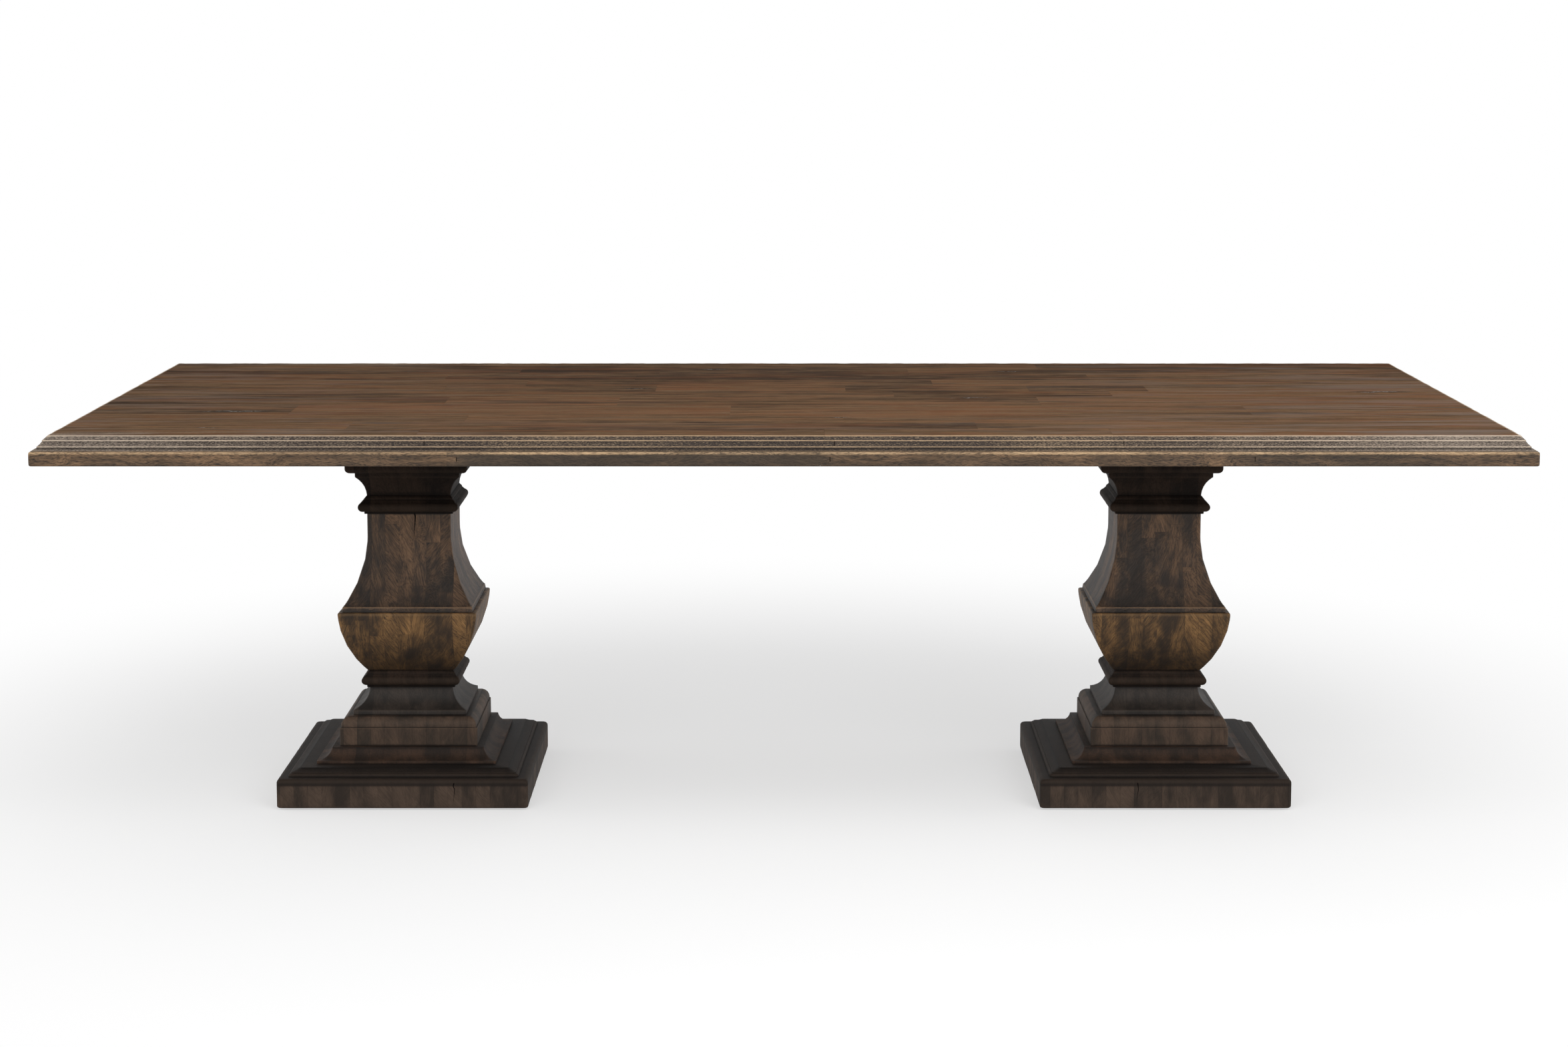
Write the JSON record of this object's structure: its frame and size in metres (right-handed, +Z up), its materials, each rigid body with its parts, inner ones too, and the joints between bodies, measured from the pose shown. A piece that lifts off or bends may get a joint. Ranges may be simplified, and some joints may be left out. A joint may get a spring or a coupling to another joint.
{
  "type": "dining table",
  "caption": "Long dining table in dark distressed wood: finger-jointed board top with a stepped moulded edge, on square baluster pedestals with stepped plinths.",
  "frame": {"origin": "on the floor, under the middle of the top", "axes": "+X along the table, +Y towards its back, +Z up"},
  "size_m": [2.74, 1.22, 0.79],
  "materials": {
    "top_wood": "dark stain, waxed, rubbed through on the arrises",
    "pedestal_wood": "dark stain and wax, rubbed through on the high faces",
    "underside_wood": "stained, unpolished",
    "dowel_wood": "bare beech",
    "zinc_steel": "zinc plated",
    "insert_brass": "turned",
    "glide_nylon": "moulded nylon"
  },
  "bodies": {
    "root": {"back_edge_strip": "top_wood", "batten_screws": "zinc_steel", "bearer_inserts": "insert_brass", "bearer_screws": "zinc_steel", "centre_batten": "underside_wood", "front_edge_strip": "top_wood", "left_abacus": "pedestal_wood", "left_bowl_block": "pedestal_wood", "left_capital": "pedestal_wood", "left_cove_board": "pedestal_wood", "left_die_block": "pedestal_wood", "left_dowels": "dowel_wood", "left_edge_strip": "top_wood", "left_end_batten": "underside_wood", "left_glides": "glide_nylon", "left_inner_bearer": "underside_wood", "left_lower_collar": "pedestal_wood", "left_neck_block": "pedestal_wood", "left_outer_bearer": "underside_wood", "left_plinth": "pedestal_wood", "left_scotia_block": "pedestal_wood", "left_tie_rod": "zinc_steel", "left_top_plate": "underside_wood", "left_upper_collar": "pedestal_wood", "plate_bolts": "zinc_steel", "plate_washers": "zinc_steel", "right_abacus": "pedestal_wood", "right_bowl_block": "pedestal_wood", "right_capital": "pedestal_wood", "right_cove_board": "pedestal_wood", "right_die_block": "pedestal_wood", "right_dowels": "dowel_wood", "right_edge_strip": "top_wood", "right_end_batten": "underside_wood", "right_glides": "glide_nylon", "right_inner_bearer": "underside_wood", "right_lower_collar": "pedestal_wood", "right_neck_block": "pedestal_wood", "right_outer_bearer": "underside_wood", "right_plinth": "pedestal_wood", "right_scotia_block": "pedestal_wood", "right_tie_rod": "zinc_steel", "right_top_plate": "underside_wood", "right_upper_collar": "pedestal_wood", "tie_nuts": "zinc_steel", "tie_washers": "zinc_steel", "top_board_01": "top_wood", "top_board_02": "top_wood", "top_board_03": "top_wood", "top_board_04": "top_wood", "top_board_05": "top_wood", "top_board_06": "top_wood", "top_board_07": "top_wood", "top_board_08": "top_wood", "top_board_09": "top_wood", "top_board_10": "top_wood", "top_board_11": "top_wood"}
  },
  "joints": []
}
